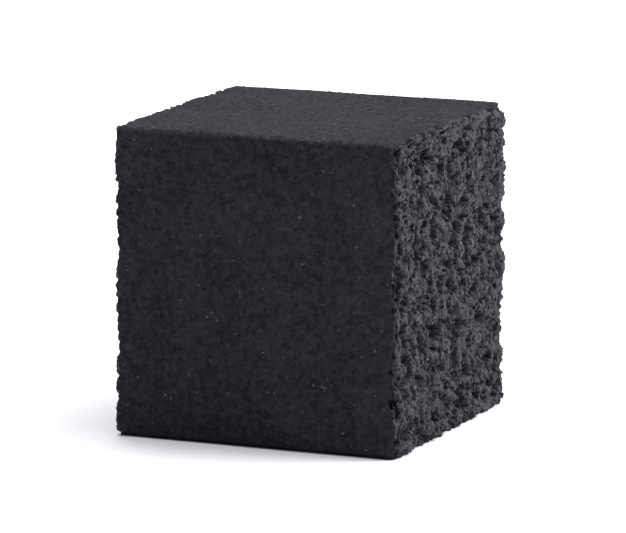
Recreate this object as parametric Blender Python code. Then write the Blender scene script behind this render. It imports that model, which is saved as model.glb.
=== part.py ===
"""Coconut charcoal briquette: one cube of ground coconut-shell char, pressed with a starch binder.

The paste is pushed through a square die as a long bar, so four sides are smooth and meet at
softly rounded edges. A blade then chops the bar into cubes, so the two ends are torn: plates
of packed char stand between pits, and crumbs have broken off the rims. It dries and is baked
as one piece, so it is one solid. Metres, +Z up: +X runs along the bar, out of one torn end,
and the origin lies under the middle of the flat underside.
"""

import math

import bmesh
import bpy
from mathutils import Vector, noise

MM = 0.001

# The cube's driving dimensions.
CUT_LENGTH = 24.6 * MM
BAR_DEPTH = 24.0 * MM
BAR_HEIGHT = 25.2 * MM

# The die rounds the bar's four long edges. The rims round the torn ends are sharper.
DIE_RADIUS = 0.8 * MM
DIE_STRIPS = 2
RIM_RADIUS = 0.35 * MM

# The surface is cut into cells: square ones across a torn end, and along the bar cells that
# are short beside the ends and grow longer towards the middle.
CELLS_ACROSS = 44
CELLS_ALONG_HALF = 5
CELL_GROWTH = 1.9

# A torn end: the slow wave that the blade left, and the pits between the plates. It starts a
# little way down the sides, further where the rim is bitten. The die's hard skin holds the rims
# together, so beside them the pits are shallower, and within SLANT_REACH of a rim they slant.
BLADE_WAVE_SIZE = 7.0 * MM
BLADE_WAVE_DEPTH = 0.35 * MM
PIT_SIZE = 1.25 * MM
PIT_DEPTH = 0.55 * MM
PIT_STARTS = -0.02
PIT_ENDS = 0.42
RIM_BAND = 0.18 * MM
RIM_FADE = 0.25 * MM
BITE_SIZE = 1.3 * MM
RIGHT_BITE = 1.0 * MM
LEFT_BITE = 0.45 * MM
RIM_HOLD = 1.2 * MM
RIGHT_RIM_SHARE = 0.6
LEFT_RIM_SHARE = 0.4
SLANT_REACH = 1.3 * MM

# Between the pits the end breaks up into plates of packed char, each with its own height and
# slope. About a third are missing, more of them where a pit is deeper than PIT_MEAN. Each of
# those leaves a hole, whose wall lies between two gaps to the next plate, in plate sizes. The
# plates are bent out of their straight outlines by a drift, which the seed fixes.
PLATE_SIZE = 0.65 * MM
PLATE_STEP = 0.05 * MM
PLATE_TILT = 0.3
MISSING_SHARE = 0.34
MISSING_DEPTH = 0.42 * MM
MORE_IN_PITS = 0.45
PIT_MEAN = 0.4
WALL_STARTS = 0.03
WALL_ENDS = 0.2
BEND_SIZE = 0.9 * MM
BEND = 0.3 * MM
BEND_SEED = 25

# The deepest hollows of the torn ends: end, place across and up it in halves of the cube, half
# width, half height and depth.
HOLLOWS = (
    (1.0, -0.62, 0.79, 1.1 * MM, 0.8 * MM, 0.6 * MM),
    (1.0, 0.22, 0.77, 0.9 * MM, 0.6 * MM, 0.5 * MM),
    (1.0, 0.02, 0.60, 0.8 * MM, 0.7 * MM, 0.45 * MM),
    (1.0, -0.56, 0.25, 1.0 * MM, 0.7 * MM, 0.5 * MM),
    (1.0, -0.33, -0.29, 1.5 * MM, 0.8 * MM, 0.75 * MM),
    (1.0, 0.46, -0.33, 1.2 * MM, 0.7 * MM, 0.6 * MM),
    (1.0, -0.90, -0.20, 0.8 * MM, 0.5 * MM, 0.5 * MM),
    (1.0, -0.78, -0.47, 0.7 * MM, 0.7 * MM, 0.5 * MM),
    (1.0, 0.44, -0.70, 0.8 * MM, 0.7 * MM, 0.5 * MM),
    (1.0, 0.80, 0.10, 0.9 * MM, 0.6 * MM, 0.45 * MM),
    (-1.0, 0.35, 0.45, 1.3 * MM, 0.9 * MM, 0.65 * MM),
    (-1.0, -0.40, 0.10, 1.0 * MM, 1.2 * MM, 0.6 * MM),
    (-1.0, 0.15, -0.55, 1.4 * MM, 0.7 * MM, 0.7 * MM),
    (-1.0, -0.65, -0.60, 0.8 * MM, 0.8 * MM, 0.5 * MM),
    (-1.0, 0.75, -0.15, 0.9 * MM, 0.8 * MM, 0.5 * MM),
)
HOLLOW_FLOOR = 0.35

# The smooth sides sink a little in slow waves, where the damp bar sagged and dried.
SAG_SIZE = 9.0 * MM
SAG_DEPTH = 0.16 * MM

# Crumbs lost from the rims and corners, each leaving a scoop: place, half width and depth. A
# place is given in halves of the cube, from -1 to 1 along X, Y and Z.
CHIPS = (
    ((1.0, 0.80, 1.0), 1.7 * MM, 0.8 * MM),
    ((1.0, 1.0, 0.93), 1.3 * MM, 0.6 * MM),
    ((1.0, 1.0, -1.0), 1.5 * MM, 0.7 * MM),
    ((1.0, -0.62, -1.0), 1.3 * MM, 0.5 * MM),
    ((1.0, -0.12, -1.0), 0.9 * MM, 0.35 * MM),
    ((1.0, -0.93, 1.0), 0.9 * MM, 0.3 * MM),
    ((1.0, -1.0, 0.35), 0.9 * MM, 0.25 * MM),
    ((1.0, 1.0, -0.2), 1.3 * MM, 0.35 * MM),
    ((-1.0, 1.0, 0.7), 1.9 * MM, 0.7 * MM),
    ((-1.0, 0.3, -1.0), 1.4 * MM, 0.5 * MM),
    ((-1.0, 0.5, 1.0), 1.2 * MM, 0.4 * MM),
    ((-1.0, 1.0, -1.0), 1.2 * MM, 0.5 * MM),
)

HALF = Vector((CUT_LENGTH / 2, BAR_DEPTH / 2, BAR_HEIGHT / 2))
MIDDLE = Vector((0.0, 0.0, HALF.z))


def clear_scene():
    for leftover in list(bpy.data.objects):
        bpy.data.objects.remove(leftover, do_unlink=True)


def smooth_step(low, high, value):
    """0 below low, 1 above high, and an S-curve between them."""
    share = min(max((value - low) / (high - low), 0.0), 1.0)
    return share * share * (3.0 - 2.0 * share)


def char_material():
    """Matt black char, a little blue in the light."""
    material = bpy.data.materials.new("coconut_char")
    material.use_nodes = True
    shader = material.node_tree.nodes["Principled BSDF"]
    shader.inputs["Base Color"].default_value = (0.022, 0.0225, 0.025, 1.0)
    shader.inputs["Roughness"].default_value = 0.7
    shader.inputs["Metallic"].default_value = 0.0
    material.diffuse_color = (0.05, 0.05, 0.055, 1.0)
    return material


def round_edges(mesh, chosen, radius, strips):
    """Rounds the edges that lie as the chosen test says."""
    edges = [edge for edge in mesh.edges if chosen(*(vert.co for vert in edge.verts))]
    bmesh.ops.bevel(
        mesh, geom=edges, offset=radius, segments=strips, profile=0.5, affect="EDGES"
    )


def cut_off_bar():
    """The cube as the die and the blade shape it: round along X, with two flat sharper ends."""
    mesh = bmesh.new()
    bmesh.ops.create_cube(mesh, size=1.0)
    bmesh.ops.scale(mesh, vec=HALF * 2.0, verts=mesh.verts)
    bmesh.ops.translate(mesh, vec=MIDDLE, verts=mesh.verts)
    round_edges(mesh, lambda a, b: a.x * b.x < 0.0, DIE_RADIUS, DIE_STRIPS)
    round_edges(mesh, lambda a, b: a.x * b.x > 0.0, RIM_RADIUS, 1)
    return mesh


def even_lines(reach, cells):
    """Evenly spaced places from -reach to reach, ends included."""
    return [reach * (2.0 * i / cells - 1.0) for i in range(cells + 1)]


def growing_lines(reach, cells, growth):
    """Places from -reach to reach, close together at both ends and wider in the middle."""
    one_side = [reach * (1.0 - (i / cells) ** growth) for i in range(cells + 1)]
    return sorted(set(one_side) | {-place for place in one_side})


def cut_into_cells(mesh):
    """Slices all faces by planes, so that the surface has the points that its relief needs."""
    lines_by_axis = (
        growing_lines(HALF.x - RIM_RADIUS, CELLS_ALONG_HALF, CELL_GROWTH),
        even_lines(HALF.y - DIE_RADIUS, CELLS_ACROSS),
        even_lines(HALF.z - DIE_RADIUS, CELLS_ACROSS),
    )
    for axis, lines in enumerate(lines_by_axis):
        direction = Vector((axis == 0, axis == 1, axis == 2))
        for place in lines[1:-1]:
            bmesh.ops.bisect_plane(
                mesh,
                geom=mesh.verts[:] + mesh.edges[:] + mesh.faces[:],
                dist=1e-7,
                plane_co=MIDDLE + direction * place,
                plane_no=direction,
            )


def torn_share(point):
    """1 on a torn end, 0 on a smooth side, and between them close to the rim."""
    from_end = HALF.x - abs(point.x)
    bite = RIGHT_BITE if point.x > 0.0 else LEFT_BITE
    band = RIM_BAND + bite * max(noise.noise(point / BITE_SIZE), 0.0)
    return 1.0 - smooth_step(0.0, RIM_FADE, from_end - band)


def hollow_depth(point):
    """How deep the largest hollow is here: flat over the middle, and rising to its edge."""
    deepest_here = 0.0
    for end, across, up, half_width, half_height, deepest in HOLLOWS:
        aside = (point.y - across * HALF.y) / half_width
        above = (point.z - MIDDLE.z - up * HALF.z) / half_height
        share = 1.0 - smooth_step(HOLLOW_FLOOR, 1.0, math.hypot(aside, above))
        if point.x * end > 0.0:
            deepest_here = max(deepest_here, deepest * share)
    return deepest_here


def plate_depth(point, pit):
    """How low the plate here lies, or how deep the hole is that it has left."""
    bent = (point + BEND * noise.noise_vector(point / BEND_SIZE)) / PLATE_SIZE
    distances, middles = noise.voronoi(bent)
    number = noise.cell(middles[0])
    slope = noise.cell_vector(middles[0]).dot(bent - middles[0]) * PLATE_SIZE
    staying = 1.0 - 2.0 * MISSING_SHARE
    missing = smooth_step(staying, staying + 0.1, number + MORE_IN_PITS * (pit - PIT_MEAN))
    hole = missing * smooth_step(WALL_STARTS, WALL_ENDS, distances[1] - distances[0])
    plate = (1.0 - missing) * (PLATE_STEP * number + PLATE_TILT * slope)
    return plate + MISSING_DEPTH * hole * (1.0 - 0.4 * pit)


def torn_depth(point):
    """How far a torn end lies under the blade's plane here."""
    wave = 0.5 + 0.5 * noise.noise(point / BLADE_WAVE_SIZE)
    pit = smooth_step(PIT_STARTS, PIT_ENDS, noise.noise(point / PIT_SIZE))
    inside_rim = min(HALF.y - abs(point.y), HALF.z - abs(point.z - MIDDLE.z))
    at_rim = RIGHT_RIM_SHARE if point.x > 0.0 else LEFT_RIM_SHARE
    loose = at_rim + (1.0 - at_rim) * smooth_step(0.0, RIM_HOLD, inside_rim)
    loose_depth = PIT_DEPTH * pit + plate_depth(point, pit) + hollow_depth(point)
    return BLADE_WAVE_DEPTH * wave + loose_depth * loose


def mean_torn_depth(point):
    """The torn depth over about one cell round the point, so that no cell takes a stray spike."""
    third = BAR_DEPTH / CELLS_ACROSS / 3.0
    steps = [Vector((0.0, a * third, b * third)) for a in (-1, 0, 1) for b in (-1, 0, 1)]
    return sum(torn_depth(point + step) for step in steps) / len(steps)


def sag_depth(point):
    """How far a smooth side lies under the die's plane here."""
    return SAG_DEPTH * (0.5 + 0.5 * noise.noise(point / SAG_SIZE))


def way_in(point):
    """Straight in from a side, and slanting near an edge, so that pits there don't cross."""
    offset = point - MIDDLE
    shares = (max(1.0 - (half - abs(a)) / SLANT_REACH, 0.0) for a, half in zip(offset, HALF))
    return Vector(-math.copysign(share, a) for a, share in zip(offset, shares)).normalized()


def scoop_chips(point):
    """Pushes a point out of the round hollows that lost crumbs left."""
    scooped = point.copy()
    for place, reach, depth in CHIPS:
        rim = MIDDLE + Vector(a * b for a, b in zip(place, HALF))
        way_out = Vector(a * b * (abs(a) > 0.75) for a, b in zip(place, HALF)).normalized()
        radius = (reach * reach + depth * depth) / (2.0 * depth)
        centre = rim + way_out * (radius - depth)
        apart = scooped - centre
        if apart.length < radius:
            scooped = centre + apart.normalized() * radius
    return scooped


def roughen(mesh):
    """Sinks every point by the relief of its side. The flat underside stays flat."""
    mesh.normal_update()
    sunk = {}
    for vert in mesh.verts:
        torn = torn_share(vert.co)
        standing_clear = smooth_step(-1.0, -0.8, vert.normal.z)
        depth = (1.0 - torn) * standing_clear * sag_depth(vert.co)
        if torn > 0.0:
            depth += torn * mean_torn_depth(vert.co)
        place = scoop_chips(vert.co) + way_in(vert.co) * depth
        place.z = max(place.z, 0.0)
        sunk[vert] = place
    for vert, place in sunk.items():
        vert.co = place


def build_briquette():
    mesh = cut_off_bar()
    cut_into_cells(mesh)
    roughen(mesh)
    bmesh.ops.triangulate(mesh, faces=mesh.faces[:])
    shape = bpy.data.meshes.new("briquette")
    mesh.to_mesh(shape)
    mesh.free()
    shape.materials.append(char_material())
    return bpy.data.objects.new("briquette", shape)


def main():
    clear_scene()
    noise.seed_set(BEND_SEED)
    parts = bpy.data.collections.new("coconut_charcoal_briquette")
    bpy.context.scene.collection.children.link(parts)
    parts.objects.link(build_briquette())


main()
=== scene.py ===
import math

import bmesh
import bpy
import numpy as np
from mathutils import Matrix, Vector, noise


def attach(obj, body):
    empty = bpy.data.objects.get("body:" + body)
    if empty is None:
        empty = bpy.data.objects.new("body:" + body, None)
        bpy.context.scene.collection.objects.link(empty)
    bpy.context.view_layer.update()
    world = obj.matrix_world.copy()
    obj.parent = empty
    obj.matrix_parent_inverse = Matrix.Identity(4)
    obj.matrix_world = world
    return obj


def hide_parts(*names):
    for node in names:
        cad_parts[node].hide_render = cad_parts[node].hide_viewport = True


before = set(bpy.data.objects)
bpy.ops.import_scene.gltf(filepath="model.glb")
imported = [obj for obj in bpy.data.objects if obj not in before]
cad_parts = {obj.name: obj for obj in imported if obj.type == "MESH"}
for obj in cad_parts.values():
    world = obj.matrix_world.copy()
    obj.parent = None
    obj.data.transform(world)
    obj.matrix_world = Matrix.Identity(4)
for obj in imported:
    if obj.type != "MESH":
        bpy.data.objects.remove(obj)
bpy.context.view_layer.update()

# The pressed cube: ground coconut-shell char and starch paste, pushed through a square die as a
# long bar, chopped by a blade and baked in one piece. +X runs along the bar, so the four sides
# round X are smooth and the two ends are torn.
MM = 0.001
CUT_LENGTH = 24.6 * MM
BAR_DEPTH = 24.0 * MM
BAR_HEIGHT = 25.2 * MM
HALF = np.array((CUT_LENGTH, BAR_DEPTH, BAR_HEIGHT)) / 2
MIDDLE = np.array((0.0, 0.0, HALF[2]))
DIE_RADIUS = 0.8 * MM
RIM_RADIUS = 0.35 * MM
CELLS_ACROSS = 184
CELLS_ALONG_HALF = 20
EVEN_SHARE = 0.2

# A length that keeps a sum from dividing by nothing, and the width of a rounding error.
TINY = 1e-12
HAIR = 1e-9


def growing_lines(reach, cells, even_share):
    """Places from -reach to reach, close together at both ends and wider in the middle."""
    step = np.arange(cells + 1) / cells
    one_side = reach * (1.0 - even_share * step - (1.0 - even_share) * step ** 3)
    return np.concatenate((-one_side, one_side[-2::-1]))


def box_skin(lines_x, lines_y, lines_z):
    """The points and four-sided faces of a box that is cut along these lines."""
    number = np.full((len(lines_x), len(lines_y), len(lines_z)), -1)
    skin = np.ones(number.shape, dtype=bool)
    skin[1:-1, 1:-1, 1:-1] = False
    number[skin] = np.arange(skin.sum())
    i, j, k = np.nonzero(skin)
    points = np.stack((lines_x[i], lines_y[j], lines_z[k]), axis=1)
    sides = (
        (number[-1], False), (number[0], True),
        (number[:, -1].T, False), (number[:, 0].T, True),
        (number[:, :, -1], False), (number[:, :, 0], True),
    )
    faces = []
    for side, turned in sides:
        quads = np.stack((side[:-1, :-1], side[1:, :-1], side[1:, 1:], side[:-1, 1:]), axis=-1)
        quads = quads.reshape(-1, 4)
        faces.append(quads[:, ::-1] if turned else quads)
    return points, np.concatenate(faces)


def round_like_the_bar(points):
    """Rounds a sharp box as the die and the blade leave it. Gives the places and the way out."""
    section = points[:, 1:].copy()
    inner = np.clip(section, DIE_RADIUS - HALF[1:], HALF[1:] - DIE_RADIUS)
    corner = section - inner
    reach = np.linalg.norm(corner, axis=1)
    drawn_in = np.where(reach > 0.0, np.abs(corner).max(axis=1) / np.maximum(reach, TINY), 1.0)
    section = inner + corner * drawn_in[:, None]

    past = np.abs(section) - (HALF[1:] - DIE_RADIUS)
    rounding = np.maximum(past, 0.0)
    depth = DIE_RADIUS - np.linalg.norm(rounding, axis=1) - np.minimum(past.max(axis=1), 0.0)
    nearer = (past == past.max(axis=1, keepdims=True)).astype(float)
    outward = np.where(past.max(axis=1, keepdims=True) > 0.0, rounding, nearer) * np.sign(section)
    outward /= np.maximum(np.linalg.norm(outward, axis=1, keepdims=True), TINY)

    along = np.abs(points[:, 0]) - (HALF[0] - RIM_RADIUS)
    across = RIM_RADIUS - depth
    in_rim = (along > 0.0) & (across > 0.0)
    rim_reach = np.maximum(np.hypot(along, across), TINY)
    side = np.sign(points[:, 0])
    way = np.zeros_like(points)
    on_end = along > RIM_RADIUS - HAIR
    way[:, 0] = np.where(in_rim, side * along / rim_reach, np.where(on_end, side, 0.0))
    to_side = np.where(in_rim, across / rim_reach, np.where(on_end, 0.0, 1.0))
    way[:, 1:] = outward * to_side[:, None]

    places = points.copy()
    places[:, 1:] = section
    moved = np.where(in_rim, RIM_RADIUS * across / rim_reach - across, 0.0)
    places[:, 1:] += outward * moved[:, None]
    places[:, 0] = np.where(
        in_rim, side * (HALF[0] - RIM_RADIUS + RIM_RADIUS * along / rim_reach), points[:, 0]
    )
    return places, way


points, faces = box_skin(
    growing_lines(HALF[0], CELLS_ALONG_HALF, EVEN_SHARE),
    np.linspace(-HALF[1], HALF[1], CELLS_ACROSS + 1),
    np.linspace(-HALF[2], HALF[2], CELLS_ACROSS + 1),
)
points, outward = round_like_the_bar(points)
points += MIDDLE


# The torn ends: the blade lifts the damp char off in plates, so light plates and ridges lie
# between dark pits, the rims are bitten and nibbled, and crumbs have gone from the corners. The
# die's hard skin holds the rims together, so beside them the pits are shallower.
BLADE_WAVE_SIZE = 7.0 * MM
BLADE_WAVE_DEPTH = 0.35 * MM
PIT_SIZE = 1.25 * MM
PIT_DEPTH = 0.55 * MM
PIT_STARTS = -0.02
PIT_ENDS = 0.42
PIT_MEAN = 0.4

# The plates between the pits, each with its own height and slope, and the holes of missing ones.
PLATE_SIZE = 0.65 * MM
PLATE_STEP = 0.05 * MM
PLATE_TILT = 0.3
PROUDEST = 0.1 * MM
MISSING_SHARE = 0.34
MISSING_BLUR = 0.1
MISSING_DEPTH = 0.42 * MM
MORE_IN_PITS = 0.45
SHALLOWER_IN_PITS = 0.4
WALL_STARTS = 0.03
WALL_ENDS = 0.2

# The drift that bends the plates out of straight outlines. Its seed is the one that the solid has.
BEND_SEED = 25
BEND_SIZE = 0.9 * MM
BEND = 0.3 * MM
FINE_BEND_SIZE = 0.25 * MM
FINE_BEND = 0.06 * MM

# The grains that the plates are made of, and the small holes of lost ones. The ground shell is
# 0.1 to 0.2 mm coarse, and its grains are drawn a little larger so that they show.
GRAIN_SIZE = 0.3 * MM
GRAIN_STEP = 0.04 * MM
LOST_GRAIN_SHARE = 0.24
LOST_GRAIN_BLUR = 0.05
LOST_GRAIN_DEPTH = 0.3 * MM

# How much painted shade each kind of hollow puts into the char's colour.
PAINTED_SHADE_IN_PIT = 0.5
PAINTED_SHADE_IN_HOLE = 0.7
PAINTED_SHADE_IN_GRAIN_HOLE = 0.65
FULL_PAINTED_SHADE_DEPTH = 0.5 * MM

# The rims: how far the torn surface reaches round them, their bites, and the finer nibbles.
RIM_BAND = 0.18 * MM
RIM_FADE = 0.25 * MM
BITE_SIZE = 1.3 * MM
RIGHT_BITE = 1.0 * MM
LEFT_BITE = 0.45 * MM
RIM_HOLD = 1.2 * MM
RIGHT_RIM_SHARE = 0.6
LEFT_RIM_SHARE = 0.4
CRUMBLE_SIZE = 0.45 * MM
CRUMBLE = 0.14 * MM
NIBBLE_SIZE = 1.1 * MM
RIGHT_NIBBLE = 1.0 * MM
LEFT_NIBBLE = 0.5 * MM
NIBBLE_CRUMBLE = 0.4
NIBBLE_REACH = 0.9 * MM

# Crumbs lost from the rims and corners: place from -1 to 1 along X, Y and Z, half width, depth.
CHIPS = (
    ((1.0, 0.80, 1.0), 1.7 * MM, 0.8 * MM),
    ((1.0, 1.0, 0.93), 1.3 * MM, 0.6 * MM),
    ((1.0, 1.0, -1.0), 1.5 * MM, 0.7 * MM),
    ((1.0, -0.62, -1.0), 1.3 * MM, 0.5 * MM),
    ((1.0, -0.12, -1.0), 0.9 * MM, 0.35 * MM),
    ((1.0, -0.93, 1.0), 0.9 * MM, 0.3 * MM),
    ((1.0, -1.0, 0.35), 0.9 * MM, 0.25 * MM),
    ((1.0, 1.0, -0.2), 1.3 * MM, 0.35 * MM),
    ((-1.0, 1.0, 0.7), 1.9 * MM, 0.7 * MM),
    ((-1.0, 0.3, -1.0), 1.4 * MM, 0.5 * MM),
    ((-1.0, 0.5, 1.0), 1.2 * MM, 0.4 * MM),
    ((-1.0, 1.0, -1.0), 1.2 * MM, 0.5 * MM),
)

# A chip opens out of each side that its place is this near to. Its outline is rough, and the torn
# look fades over its edge.
CHIP_FACES_SIDE = 0.75
CHIP_ROUGH_SIZE = 0.8 * MM
CHIP_ROUGH = 0.12
CHIP_EDGE_OUT = -0.06 * MM
CHIP_EDGE_IN = 0.1 * MM

# The deepest hollows: end, place across and up it from -1 to 1, half width, half height, depth.
HOLLOWS = (
    (1.0, -0.62, 0.79, 1.1 * MM, 0.8 * MM, 0.6 * MM),
    (1.0, 0.22, 0.77, 0.9 * MM, 0.6 * MM, 0.5 * MM),
    (1.0, 0.02, 0.60, 0.8 * MM, 0.7 * MM, 0.45 * MM),
    (1.0, -0.56, 0.25, 1.0 * MM, 0.7 * MM, 0.5 * MM),
    (1.0, -0.33, -0.29, 1.5 * MM, 0.8 * MM, 0.75 * MM),
    (1.0, 0.46, -0.33, 1.2 * MM, 0.7 * MM, 0.6 * MM),
    (1.0, -0.90, -0.20, 0.8 * MM, 0.5 * MM, 0.5 * MM),
    (1.0, -0.78, -0.47, 0.7 * MM, 0.7 * MM, 0.5 * MM),
    (1.0, 0.44, -0.70, 0.8 * MM, 0.7 * MM, 0.5 * MM),
    (1.0, 0.80, 0.10, 0.9 * MM, 0.6 * MM, 0.45 * MM),
    (-1.0, 0.35, 0.45, 1.3 * MM, 0.9 * MM, 0.65 * MM),
    (-1.0, -0.40, 0.10, 1.0 * MM, 1.2 * MM, 0.6 * MM),
    (-1.0, 0.15, -0.55, 1.4 * MM, 0.7 * MM, 0.7 * MM),
    (-1.0, -0.65, -0.60, 0.8 * MM, 0.8 * MM, 0.5 * MM),
    (-1.0, 0.75, -0.15, 0.9 * MM, 0.8 * MM, 0.5 * MM),
)
HOLLOW_FLOOR = 0.35
HOLLOW_EDGE_SIZE = 0.7 * MM
HOLLOW_EDGE_WAVE = 0.5
noise.seed_set(BEND_SEED)


def smooth_step(low, high, value):
    """0 below low, 1 above high, and an S-curve between them."""
    share = np.clip((value - low) / (high - low), 0.0, 1.0)
    return share * share * (3.0 - 2.0 * share)


def waves(places, size):
    """Smooth noise of this size at each place, from about -0.8 to 0.8."""
    return np.array([noise.noise(place) for place in (places / size).tolist()])


def drifts(places, size):
    """Noise of this size with a direction, at each place."""
    return np.array([noise.noise_vector(place) for place in (places / size).tolist()])


def grains(places, size):
    """For each place: the gap to the next grain (0 where two meet), the number that its grain
    drew, and how high the place stands on its grain's own slope."""
    gaps, numbers, slopes = [], [], []
    for place in (places / size).tolist():
        distances, centres = noise.voronoi(place)
        gaps.append(distances[1] - distances[0])
        numbers.append(noise.cell(centres[0]))
        slopes.append(noise.cell_vector(centres[0]).dot(Vector(place) - centres[0]))
    return np.array(gaps), np.array(numbers), np.array(slopes) * size


def scoop_chips(places):
    """Pushes each place out of the hollows that lost crumbs left, and tells which were pushed."""
    rough = 1.0 + CHIP_ROUGH * waves(places, CHIP_ROUGH_SIZE)
    scooped = places.copy()
    broken = np.zeros(len(places))
    for place, reach, depth in CHIPS:
        rim = MIDDLE + np.array(place) * HALF
        way_out = (rim - MIDDLE) * (np.abs(np.array(place)) > CHIP_FACES_SIDE)
        way_out /= np.linalg.norm(way_out)
        radius = (reach * reach + depth * depth) / (2.0 * depth)
        centre = rim + way_out * (radius - depth)
        apart = scooped - centre
        distance = np.linalg.norm(apart, axis=1)
        wanted = radius + (rough - 1.0) * reach
        inside = distance < wanted
        scooped[inside] = centre + apart[inside] * (wanted / distance)[inside, None]
        broken = np.maximum(broken, smooth_step(CHIP_EDGE_OUT, CHIP_EDGE_IN, wanted - distance))
    return scooped, broken


def way_in(places, reach):
    """The way in from each place: straight from a side, and slanting within reach of an edge."""
    near = HALF - np.abs(places - MIDDLE)
    return -np.sign(places - MIDDLE) * np.clip(1.0 - near / reach, 0.0, 1.0)


def nibble_rims(places):
    """Pushes the rims in by the fine crumbs that have gone from them."""
    near = HALF - np.abs(places - MIDDLE)
    from_rim = np.hypot(near[:, 0], near[:, 1:].min(axis=1))
    most = np.where(places[:, 0] > 0.0, RIGHT_NIBBLE, LEFT_NIBBLE)
    wave = waves(places, NIBBLE_SIZE) + NIBBLE_CRUMBLE * waves(places, CRUMBLE_SIZE)
    gone = most * np.maximum(wave, 0.0)
    gone *= 1.0 - smooth_step(0.0, NIBBLE_REACH, from_rim)
    return places + way_in(places, NIBBLE_REACH) * gone[:, None]


def deep_hollows(places):
    """How deep the largest hollows of the torn ends are at each place."""
    depth = np.zeros(len(places))
    edge = 1.0 + HOLLOW_EDGE_WAVE * waves(places, HOLLOW_EDGE_SIZE)
    for end, across, up, half_width, half_height, deepest in HOLLOWS:
        aside = (places[:, 1] - across * HALF[1]) / half_width
        above = (places[:, 2] - MIDDLE[2] - up * HALF[2]) / half_height
        share = 1.0 - smooth_step(HOLLOW_FLOOR, 1.0, np.hypot(aside, above) * edge)
        depth = np.maximum(depth, deepest * share * (np.sign(places[:, 0]) == end))
    return depth


def torn_relief(places):
    """How deep each place of a torn end lies, and how much shade is painted into its hollows, 0 to
    1.
    """
    inside_rim = (HALF[1:] - np.abs(places[:, 1:] - MIDDLE[1:])).min(axis=1)
    at_rim = np.where(places[:, 0] > 0.0, RIGHT_RIM_SHARE, LEFT_RIM_SHARE)
    loose = at_rim + (1.0 - at_rim) * smooth_step(0.0, RIM_HOLD, inside_rim)
    wave = 0.5 + 0.5 * waves(places, BLADE_WAVE_SIZE)
    pit = smooth_step(PIT_STARTS, PIT_ENDS, waves(places, PIT_SIZE))
    deep = deep_hollows(places)

    bent = places + BEND * drifts(places, BEND_SIZE) + FINE_BEND * drifts(places, FINE_BEND_SIZE)
    gap, number, slope = grains(bent, PLATE_SIZE)
    staying = 1.0 - 2.0 * MISSING_SHARE
    loosened = number + MORE_IN_PITS * (pit - PIT_MEAN)
    missing = smooth_step(staying, staying + MISSING_BLUR, loosened)
    hole = missing * smooth_step(WALL_STARTS, WALL_ENDS, gap)
    plate = (1.0 - missing) * (PLATE_STEP * number + PLATE_TILT * slope)
    hole_depth = MISSING_DEPTH * hole * (1.0 - SHALLOWER_IN_PITS * pit)

    grain_gap, grain, grain_slope = grains(bent, GRAIN_SIZE)
    staying = 1.0 - 2.0 * LOST_GRAIN_SHARE
    lost = smooth_step(staying, staying + LOST_GRAIN_BLUR, grain)
    lost *= smooth_step(WALL_STARTS, WALL_ENDS, grain_gap)
    fine = GRAIN_STEP * grain + PLATE_TILT * grain_slope + LOST_GRAIN_DEPTH * lost

    depth = (PIT_DEPTH * pit + plate + hole_depth + deep + fine) * loose
    # Painted shade: pits, holes and the deepest hollows are darkened in colour for the shade in
    # them.
    painted_shade = PAINTED_SHADE_IN_PIT * pit + PAINTED_SHADE_IN_HOLE * hole + PAINTED_SHADE_IN_GRAIN_HOLE * lost
    painted_shade += deep / FULL_PAINTED_SHADE_DEPTH
    return BLADE_WAVE_DEPTH * wave + np.maximum(depth, -PROUDEST), np.clip(painted_shade, 0.0, 1.0)


# The die sides: the bar's skin is pressed smooth, sinks in slow waves as the damp bar dries, and
# keeps shallow dents and fine drag lines that run along X.
SAG_SIZE = 9.0 * MM
SAG_DEPTH = 0.16 * MM
DENT_SIZE = 2.4 * MM
DENT_DEPTH = 0.03 * MM
DRAG_LENGTH = 9.0 * MM
DRAG_WIDTH = 0.5 * MM
DRAG_DEPTH = 0.018 * MM


def die_relief(places):
    """How deep each place of a die side lies."""
    sag = SAG_DEPTH * (0.5 + 0.5 * waves(places, SAG_SIZE))
    dents = DENT_DEPTH * waves(places, DENT_SIZE)
    drag = DRAG_DEPTH * waves(places / np.array((DRAG_LENGTH, DRAG_WIDTH, DRAG_WIDTH)), 1.0)
    return sag + dents + drag


# The finished surface: one skin, torn at the ends and in the chips and pressed on the sides, that
# stands on its flat underside. Every point goes in by the depth of its place. Beside an edge it
# goes in on a slant, so that pits from two sides don't cross.
SLANT_REACH = 1.3 * MM
SHALLOWER_IN_CHIPS = 0.3
UNDERSIDE_STARTS = 0.8
MORE_TORN_THAN_PRESSED = 0.5

from_end = HALF[0] - np.abs(points[:, 0])
bite = np.where(points[:, 0] > 0.0, RIGHT_BITE, LEFT_BITE)
band = RIM_BAND + bite * np.maximum(waves(points, BITE_SIZE), 0.0)
band += CRUMBLE * waves(points, CRUMBLE_SIZE)
torn = 1.0 - smooth_step(0.0, RIM_FADE, from_end - band)
chipped, broken = scoop_chips(nibble_rims(points))
torn = np.maximum(torn, broken)
near_end = torn > 0.0
torn_depth = np.zeros(len(points))
painted_pit_shade = np.zeros(len(points))
torn_depth[near_end], painted_pit_shade[near_end] = torn_relief(points[near_end])
torn_depth *= 1.0 - SHALLOWER_IN_CHIPS * broken
resting = smooth_step(UNDERSIDE_STARTS, 1.0, -outward[:, 2])
depth = torn * torn_depth + (1.0 - torn) * (1.0 - resting) * die_relief(points)
slant = way_in(points, SLANT_REACH)
slant /= np.linalg.norm(slant, axis=1, keepdims=True)
places = chipped + slant * depth[:, None]
places[:, 2] = np.maximum(places[:, 2], 0.0)


def keep_on_points(mesh, name, values):
    """Stores a number on each point of the mesh, for the material to read."""
    layer = mesh.attributes.new(name, "FLOAT", "POINT")
    layer.data.foreach_set("value", values.astype(np.float32))


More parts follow.
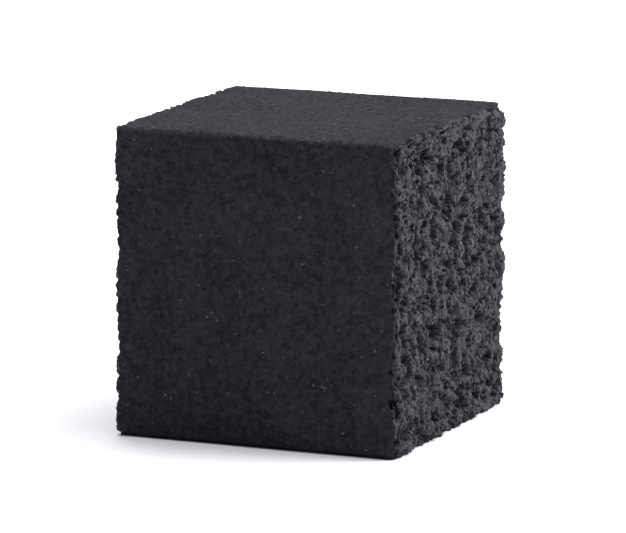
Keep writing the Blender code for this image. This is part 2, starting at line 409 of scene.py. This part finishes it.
body_mesh = bpy.data.meshes.new("pressed_cube")
body_mesh.from_pydata(places.tolist(), [], faces.tolist())
body_mesh.update()
# Painted shade: how far each point's pit is darkened in colour, for the materials to read.
keep_on_points(body_mesh, "painted_pit_shade", painted_pit_shade * torn)
keep_on_points(body_mesh, "tone_and_glint", np.zeros(len(points)))
face_torn = torn[faces].mean(axis=1)
body_mesh.polygons.foreach_set("use_smooth", (face_torn < MORE_TORN_THAN_PRESSED).tolist())
cube = bpy.data.objects.new("pressed_cube", body_mesh)
bpy.context.scene.collection.objects.link(cube)
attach(cube, "root")
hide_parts("briquette")


# The char itself: coconut shell burnt to carbon, ground and pressed. It is near black, a little
# blue where light rakes it. Packed plates and flat flakes glint, and pits stay dull, their colour
# darkened as painted shade. It is full of pores, so it mirrors less than solid carbon of the same
# IOR.
def linear(hex_colour):
    """An sRGB hex colour as linear red, green, blue and alpha."""
    parts = [int(hex_colour[i:i + 2], 16) / 255 for i in (1, 3, 5)]
    return [p / 12.92 if p <= 0.04045 else ((p + 0.055) / 1.055) ** 2.4 for p in parts] + [1.0]


def add(tree, kind, settings=None, **inputs):
    """Adds a node. Settings are its own properties. An input is a value or another's output, and
    goes by its name, or by its number, as _0, where sockets share a name."""
    node = tree.nodes.new(kind)
    for name, value in (settings or {}).items():
        setattr(node, name, value)
    for name, value in inputs.items():
        key = int(name[1:]) if name[1:].isdigit() else name.replace("_", " ")
        socket = node.inputs[key]
        if isinstance(value, bpy.types.NodeSocket):
            tree.links.new(value, socket)
        else:
            socket.default_value = value
    return node


# Painted shade: the near black that the pits are darkened towards, for the shade in them.
PIT_PAINTED_SHADE = "#121315"
CHAR_IOR = 1.5
FINEST_GRAIN_SIZE = 0.12 * MM
FINEST_GRAIN_BUMP = 0.02 * MM


def flat_flakes(tree, where, size, share):
    """1 on this share of small flat-sided patches, 0 on the rest."""
    patch = add(tree, "ShaderNodeTexVoronoi", Vector=where, Scale=1 / size)
    number = add(tree, "ShaderNodeSeparateColor", Color=patch.outputs["Color"])
    return add(tree, "ShaderNodeMapRange", Value=number.outputs[0],
               From_Min=1 - share, From_Max=1 - share + 0.01).outputs[0]


# The pressed skin: the die packs the ground char flat. Its grain is drawn at 0.45 mm, coarser
# than the real 0.1 to 0.2 mm, so that it shows, under clouds of slightly lighter char.
SKIN_DARK = "#0d0e10"
SKIN_LIGHT = "#2b2d32"
# Painted glint: the lightest colour, given to the grains of the brightest tone.
PAINTED_GLINT = "#474b52"
SKIN_CLOUD_SIZE = 4.5 * MM
SKIN_CLOUD_STRENGTH = 0.7
SKIN_DARKENED_BY = 0.35
SKIN_GRAIN_SIZE = 0.45 * MM
SKIN_GRAIN_FROM = 0.34
SKIN_GRAIN_TO = 0.68
SKIN_GRAIN_BUMP = 0.06 * MM
SKIN_FLAKE_SIZE = 0.2 * MM
SKIN_FLAKE_SHARE = 0.03
SKIN_FLAKE_GLOSS = 0.35
SKIN_ROUGHEST = 0.9
SKIN_SMOOTHEST = 0.62
SKIN_SPECULAR = 0.15
PAINTED_GLINT_STARTS = 0.8


def die_skin_char():
    """Char skin pressed by the die: matt, near black, evenly grained, with glossy and painted
    glints.
    """
    material = bpy.data.materials.new("die_pressed_coconut_char")
    material.use_nodes = True
    tree = material.node_tree
    tree.nodes.clear()
    where = add(tree, "ShaderNodeTexCoord").outputs["Object"]
    pit = add(tree, "ShaderNodeAttribute", {"attribute_name": "painted_pit_shade"}).outputs["Fac"]
    tone_and_glint = add(tree, "ShaderNodeAttribute", {"attribute_name": "tone_and_glint"}).outputs["Fac"]
    cloud = add(tree, "ShaderNodeTexNoise", Vector=where, Scale=1 / SKIN_CLOUD_SIZE,
                Detail=3.0, Roughness=0.5).outputs["Fac"]
    grain = add(tree, "ShaderNodeTexNoise", Vector=where, Scale=1 / SKIN_GRAIN_SIZE,
                Detail=4.0, Roughness=0.75).outputs["Fac"]
    finest = add(tree, "ShaderNodeTexNoise", Vector=where, Scale=1 / FINEST_GRAIN_SIZE,
                 Detail=2.0, Roughness=0.5).outputs["Fac"]

    light = add(tree, "ShaderNodeMapRange", Value=grain, From_Min=SKIN_GRAIN_FROM,
                From_Max=SKIN_GRAIN_TO)
    light = add(tree, "ShaderNodeMath", {"operation": "MULTIPLY_ADD"}, _0=cloud,
                _1=SKIN_CLOUD_STRENGTH, _2=light.outputs[0])
    light = add(tree, "ShaderNodeMath", {"operation": "ADD"}, _0=light.outputs[0], _1=tone_and_glint)
    light = add(tree, "ShaderNodeMath", {"operation": "SUBTRACT", "use_clamp": True},
                _0=light.outputs[0], _1=SKIN_DARKENED_BY)
    colour = add(tree, "ShaderNodeMix", {"data_type": "RGBA"}, _0=light.outputs[0],
                 _6=linear(SKIN_DARK), _7=linear(SKIN_LIGHT))
    # Painted glint: grains of the brightest tone are given a lighter colour.
    painted_glint = add(tree, "ShaderNodeMapRange", Value=tone_and_glint, From_Min=PAINTED_GLINT_STARTS, From_Max=1.0)
    colour = add(tree, "ShaderNodeMix", {"data_type": "RGBA"}, _0=painted_glint.outputs[0],
                 _6=colour.outputs[2], _7=linear(PAINTED_GLINT))
    # Painted shade: the pits of the torn band are darkened in colour.
    colour = add(tree, "ShaderNodeMix", {"data_type": "RGBA"}, _0=pit,
                 _6=colour.outputs[2], _7=linear(PIT_PAINTED_SHADE))

    flakes = flat_flakes(tree, where, SKIN_FLAKE_SIZE, SKIN_FLAKE_SHARE)
    rough = add(tree, "ShaderNodeMapRange", Value=grain, To_Min=SKIN_ROUGHEST,
                To_Max=SKIN_SMOOTHEST)
    rough = add(tree, "ShaderNodeMath", {"operation": "MULTIPLY_ADD"}, _0=flakes,
                _1=-SKIN_FLAKE_GLOSS, _2=rough.outputs[0])
    bump = add(tree, "ShaderNodeBump", Strength=1.0, Distance=SKIN_GRAIN_BUMP, Height=grain)
    bump = add(tree, "ShaderNodeBump", Strength=0.8, Distance=FINEST_GRAIN_BUMP,
               Height=finest, Normal=bump.outputs[0])
    shader = add(tree, "ShaderNodeBsdfPrincipled", Base_Color=colour.outputs[2],
                 Roughness=rough.outputs[0], Normal=bump.outputs[0])
    shader.inputs["IOR"].default_value = CHAR_IOR
    shader.inputs["Specular IOR Level"].default_value = SKIN_SPECULAR
    add(tree, "ShaderNodeOutputMaterial", Surface=shader.outputs[0])
    return material


# The torn char: fresh broken carbon, lighter than the skin on its plates and grains. Its fine
# grain is drawn at 0.35 mm, coarser than the real one, so that it shows.
TORN_DARK = "#17181b"
TORN_LIGHT = "#3a3c41"
TORN_GRAIN_SIZE = 0.35 * MM
TORN_GRAIN_FROM = 0.3
TORN_GRAIN_TO = 0.7
TORN_GRAIN_BUMP = 0.05 * MM
TORN_FLAKE_SIZE = 0.22 * MM
TORN_FLAKE_SHARE = 0.06
TORN_FLAKE_GLOSS = 0.25
TORN_ROUGHNESS = 0.58
DULLER_IN_PITS = 0.25
TORN_SPECULAR = 0.3


def torn_char():
    """Char laid bare by the blade: light flat bits that catch the light, over dull painted-shade
    pits.
    """
    material = bpy.data.materials.new("blade_torn_coconut_char")
    material.use_nodes = True
    tree = material.node_tree
    tree.nodes.clear()
    where = add(tree, "ShaderNodeTexCoord").outputs["Object"]
    pit = add(tree, "ShaderNodeAttribute", {"attribute_name": "painted_pit_shade"}).outputs["Fac"]
    tone_and_glint = add(tree, "ShaderNodeAttribute", {"attribute_name": "tone_and_glint"}).outputs["Fac"]
    grain = add(tree, "ShaderNodeTexNoise", Vector=where, Scale=1 / TORN_GRAIN_SIZE,
                Detail=3.0, Roughness=0.6).outputs["Fac"]
    finest = add(tree, "ShaderNodeTexNoise", Vector=where, Scale=1 / FINEST_GRAIN_SIZE,
                 Detail=2.0, Roughness=0.5).outputs["Fac"]

    light = add(tree, "ShaderNodeMapRange", Value=grain, From_Min=TORN_GRAIN_FROM,
                From_Max=TORN_GRAIN_TO)
    light = add(tree, "ShaderNodeMath", {"operation": "ADD", "use_clamp": True},
                _0=light.outputs[0], _1=tone_and_glint)
    colour = add(tree, "ShaderNodeMix", {"data_type": "RGBA"}, _0=light.outputs[0],
                 _6=linear(TORN_DARK), _7=linear(TORN_LIGHT))
    # Painted shade: the pits are darkened in colour.
    colour = add(tree, "ShaderNodeMix", {"data_type": "RGBA"}, _0=pit,
                 _6=colour.outputs[2], _7=linear(PIT_PAINTED_SHADE))

    flakes = flat_flakes(tree, where, TORN_FLAKE_SIZE, TORN_FLAKE_SHARE)
    rough = add(tree, "ShaderNodeMath", {"operation": "MULTIPLY_ADD"}, _0=pit,
                _1=DULLER_IN_PITS, _2=TORN_ROUGHNESS)
    rough = add(tree, "ShaderNodeMath", {"operation": "MULTIPLY_ADD"}, _0=flakes,
                _1=-TORN_FLAKE_GLOSS, _2=rough.outputs[0])
    bump = add(tree, "ShaderNodeBump", Strength=1.0, Distance=TORN_GRAIN_BUMP, Height=grain)
    bump = add(tree, "ShaderNodeBump", Strength=1.0, Distance=FINEST_GRAIN_BUMP,
               Height=finest, Normal=bump.outputs[0])
    shader = add(tree, "ShaderNodeBsdfPrincipled", Base_Color=colour.outputs[2],
                 Roughness=rough.outputs[0], Normal=bump.outputs[0])
    shader.inputs["IOR"].default_value = CHAR_IOR
    shader.inputs["Specular IOR Level"].default_value = TORN_SPECULAR
    add(tree, "ShaderNodeOutputMaterial", Surface=shader.outputs[0])
    return material


skin_char = die_skin_char()
bare_char = torn_char()
body_mesh.materials.append(skin_char)
body_mesh.materials.append(bare_char)
is_bare = (face_torn >= MORE_TORN_THAN_PRESSED).astype(int)
body_mesh.polygons.foreach_set("material_index", is_bare.tolist())


# The grit on the torn ends: flat-sided bits of ground shell that the blade has laid bare. The
# binder holds them, sunk into the face by most of their thickness. They lie on the plates and not
# in the pits, most of them small, and smaller still beside the rims.
GRIT_PER_END = 8500
GRIT_SMALLEST = 0.07 * MM
GRIT_LARGEST = 0.3 * MM
GRIT_SIZE_POWER = 2.5
GRIT_AT_RIM = 0.4
RIM_LEFT_FREE = 0.35 * MM
END_PLANE = 0.01 * MM
WHOLLY_TORN = 0.8
OUT_OF_PITS = 0.45
GRIT_TONES = 0.3
GRIT_LIES = {"flatness": 0.42, "lean": 0.15, "sunk": 0.25}

# How far a bit's corners reach, and how wide and thick it is, each as the least and the spread.
BIT_REACH = (0.72, 0.5)
BIT_WIDTH = (0.6, 0.35)
BIT_THICKNESS = (0.6, 0.7)
rng = np.random.default_rng(25)


def rough_ball(kind, **size):
    """The points and faces of one small closed ball of flat sides."""
    ball = bmesh.new()
    kind(ball, **size)
    bmesh.ops.triangulate(ball, faces=ball.faces[:])
    shape = np.array([vert.co[:] for vert in ball.verts])
    sides = np.array([[vert.index for vert in face.verts] for face in ball.faces])
    ball.free()
    return shape, sides


def drawn(least_and_spread, count=None):
    """Random shares, from the least up to the least plus the spread."""
    least, spread = least_and_spread
    return least + spread * rng.random(count)


def scatter(name, ball, spots, ways, sizes, tones_and_glints, material, flatness, lean, sunk):
    """One mesh of bits. Each is a bent ball that lies flat on its spot, leaning a little, and is
    sunk by a share of its size."""
    shape, sides = ball
    bits = []
    for spot, way, size in zip(spots, ways, sizes):
        bit = shape * drawn(BIT_REACH, len(shape))[:, None]
        bit *= np.array((1.0, drawn(BIT_WIDTH), flatness * drawn(BIT_THICKNESS)))
        up = Vector(way + rng.normal(0.0, lean, 3)).normalized().to_track_quat("Z", "Y")
        turn = up.to_matrix() @ Matrix.Rotation(rng.random() * math.tau, 3, "Z")
        bits.append((bit * size) @ np.array(turn).T + spot - way * size * sunk)
    first = np.arange(len(bits))[:, None, None] * len(shape)
    bit_sides = (sides[None] + first).reshape(-1, 3)
    mesh = bpy.data.meshes.new(name)
    mesh.from_pydata(np.concatenate(bits).tolist(), [], bit_sides.tolist())
    mesh.update()
    keep_on_points(mesh, "painted_pit_shade", np.zeros(len(bits) * len(shape)))
    keep_on_points(mesh, "tone_and_glint", np.repeat(tones_and_glints, len(shape)))
    mesh.materials.append(material)
    grit = bpy.data.objects.new(name, mesh)
    bpy.context.scene.collection.objects.link(grit)
    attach(grit, "root")


normals = np.array([vert.normal[:] for vert in body_mesh.vertices])
inside_rim = (HALF[1:] - np.abs(points[:, 1:] - MIDDLE[1:])).min(axis=1)
pebble = rough_ball(bmesh.ops.create_icosphere, subdivisions=1, radius=1.0)
for end, name in ((1.0, "grit_on_right_end"), (-1.0, "grit_on_left_end")):
    ready = (np.sign(points[:, 0]) == end) & (from_end < END_PLANE)
    ready &= (inside_rim > RIM_LEFT_FREE) & (torn > WHOLLY_TORN) & (painted_pit_shade < OUT_OF_PITS)
    chosen = rng.choice(np.nonzero(ready)[0], GRIT_PER_END, replace=False)
    larger = rng.random(GRIT_PER_END) ** GRIT_SIZE_POWER
    sizes = GRIT_SMALLEST + (GRIT_LARGEST - GRIT_SMALLEST) * larger
    sizes *= GRIT_AT_RIM + (1.0 - GRIT_AT_RIM) * smooth_step(0.0, RIM_HOLD, inside_rim[chosen])
    tones_and_glints = rng.normal(0.0, GRIT_TONES, GRIT_PER_END)
    scatter(name, pebble, places[chosen], normals[chosen], sizes, tones_and_glints, bare_char, **GRIT_LIES)


# The crumbs on the rims and in the chips: finer grit, because the larger bits have fallen away
# from the broken edges. They are held and sunk as the grit is.
RIM_CRUMBS = 3500
CRUMB_SMALLEST = 0.05 * MM
CRUMB_LARGEST = 0.15 * MM
CRUMB_SIZE_POWER = 2.0
OUT_OF_DEEP_PITS = 0.6
IN_A_CHIP = 0.5
CLEAR_OF_UNDERSIDE = -0.6

flake = rough_ball(bmesh.ops.create_uvsphere, u_segments=4, v_segments=2, radius=1.0)
on_rim = (from_end >= END_PLANE) | (inside_rim <= RIM_LEFT_FREE) | (broken > IN_A_CHIP)
on_rim &= (torn > WHOLLY_TORN) & (painted_pit_shade < OUT_OF_DEEP_PITS)
on_rim &= outward[:, 2] > CLEAR_OF_UNDERSIDE
chosen = rng.choice(np.nonzero(on_rim)[0], RIM_CRUMBS, replace=False)
larger = rng.random(RIM_CRUMBS) ** CRUMB_SIZE_POWER
sizes = CRUMB_SMALLEST + (CRUMB_LARGEST - CRUMB_SMALLEST) * larger
tones_and_glints = rng.normal(0.0, GRIT_TONES, RIM_CRUMBS)
scatter("crumbs_on_rims", flake, places[chosen], normals[chosen], sizes, tones_and_glints, bare_char,
        **GRIT_LIES)


# The grain of the die sides: fine bits of shell that the die has pressed almost flush, so that
# little more than their flat tops shows, a few of them painted light as glints.
FLUSH_GRAINS = 20000
FLUSH_SMALLEST = 0.06 * MM
FLUSH_LARGEST = 0.2 * MM
FLUSH_SIZE_POWER = 2.0
FLUSH_TONES = 0.25
FLUSH_LIES = {"flatness": 0.3, "lean": 0.12, "sunk": 0.06}
# Painted glints: this share of flush grains gets the tone that paints them lighter, as glints.
PAINTED_GLINT_SHARE = 0.03
PAINTED_GLINT_TONE = 1.0
HARDLY_TORN = 0.02

flush = torn[faces].max(axis=1) < HARDLY_TORN
flush &= outward[faces, 2].mean(axis=1) > CLEAR_OF_UNDERSIDE
side_faces = np.nonzero(flush)[0]
corners = places[faces[side_faces]]
diagonals = (corners[:, 2] - corners[:, 0], corners[:, 3] - corners[:, 1])
areas = np.linalg.norm(np.cross(*diagonals), axis=1)
chosen = rng.choice(side_faces, FLUSH_GRAINS, p=areas / areas.sum())
across, along = rng.random((2, FLUSH_GRAINS, 1))
shares = ((1 - across) * (1 - along), across * (1 - along), across * along, (1 - across) * along)
spots = sum(share * places[faces[chosen, corner]] for corner, share in enumerate(shares))
larger = rng.random(FLUSH_GRAINS) ** FLUSH_SIZE_POWER
sizes = FLUSH_SMALLEST + (FLUSH_LARGEST - FLUSH_SMALLEST) * larger
has_painted_glint = rng.random(FLUSH_GRAINS) < PAINTED_GLINT_SHARE
tones_and_glints = np.where(has_painted_glint, PAINTED_GLINT_TONE, rng.normal(0.0, FLUSH_TONES, FLUSH_GRAINS))
scatter("grain_in_die_sides", flake, spots, normals[faces[chosen]].mean(axis=1), sizes, tones_and_glints,
        skin_char, **FLUSH_LIES)


# The floor: a plain matt sheet of white studio card, laid under the cube and wide enough to fill
# every view.
FLOOR_REACH = 3.0
FLOOR_CORNERS = ((-1, -1), (1, -1), (1, 1), (-1, 1))
CARD_WHITE = "#f4f4f6"
CARD_ROUGHNESS = 0.9
CARD_SPECULAR = 0.1
floor_mesh = bpy.data.meshes.new("floor")
floor_corners = [(x * FLOOR_REACH, y * FLOOR_REACH, 0.0) for x, y in FLOOR_CORNERS]
floor_mesh.from_pydata(floor_corners, [], [(0, 1, 2, 3)])
floor = bpy.data.objects.new("floor", floor_mesh)
bpy.context.scene.collection.objects.link(floor)
white_card = bpy.data.materials.new("matt_white_card")
white_card.use_nodes = True
card_shader = white_card.node_tree.nodes["Principled BSDF"]
card_shader.inputs["Base Color"].default_value = linear(CARD_WHITE)
card_shader.inputs["Roughness"].default_value = CARD_ROUGHNESS
card_shader.inputs["Specular IOR Level"].default_value = CARD_SPECULAR
floor_mesh.materials.append(white_card)


# The light: a large softbox on the right, a wide one overhead, and a weak even glow all round,
# so the torn end is bright, the near side dark, and the shadow soft.
def softbox(name, place, size, watts):
    """A square lamp that faces the middle of the cube."""
    lamp = bpy.data.lights.new(name, "AREA")
    lamp.shape = "SQUARE"
    lamp.size = size
    lamp.energy = watts
    box = bpy.data.objects.new(name, lamp)
    box.location = place
    box.rotation_euler = (Vector(place) - Vector(MIDDLE)).to_track_quat("Z", "Y").to_euler()
    bpy.context.scene.collection.objects.link(box)


softbox("softbox_right", place=(0.36, 0.14, 0.30), size=0.25, watts=2.6)
softbox("softbox_above", place=(0.0, 0.2, 0.9), size=1.2, watts=17.5)
GLOW_COLOUR = "#dfe8ff"
GLOW_STRENGTH = 0.15
world = bpy.data.worlds.new("studio")
world.use_nodes = True
world.node_tree.nodes["Background"].inputs["Color"].default_value = linear(GLOW_COLOUR)
world.node_tree.nodes["Background"].inputs["Strength"].default_value = GLOW_STRENGTH
bpy.context.scene.world = world
bpy.context.scene.view_settings.view_transform = "Standard"


# The camera: where the photograph was taken from, with a longer lens, so that the cube fills the
# picture. Blender takes the lens and sensor in millimetres.
CAMERA_FROM_MIDDLE = np.array((155.9, -369.2, 75.2)) * MM
SENSOR_WIDTH = 36.0
FOCAL_LENGTH = 290.0
NEAREST_SEEN = 10.0 * MM
lens = bpy.data.cameras.new("camera")
lens.sensor_width = SENSOR_WIDTH
lens.lens = FOCAL_LENGTH
lens.clip_start = NEAREST_SEEN
camera = bpy.data.objects.new("camera", lens)
camera.location = MIDDLE + CAMERA_FROM_MIDDLE
camera.rotation_euler = Vector(CAMERA_FROM_MIDDLE).to_track_quat("Z", "Y").to_euler()
bpy.context.scene.collection.objects.link(camera)
bpy.context.scene.camera = camera
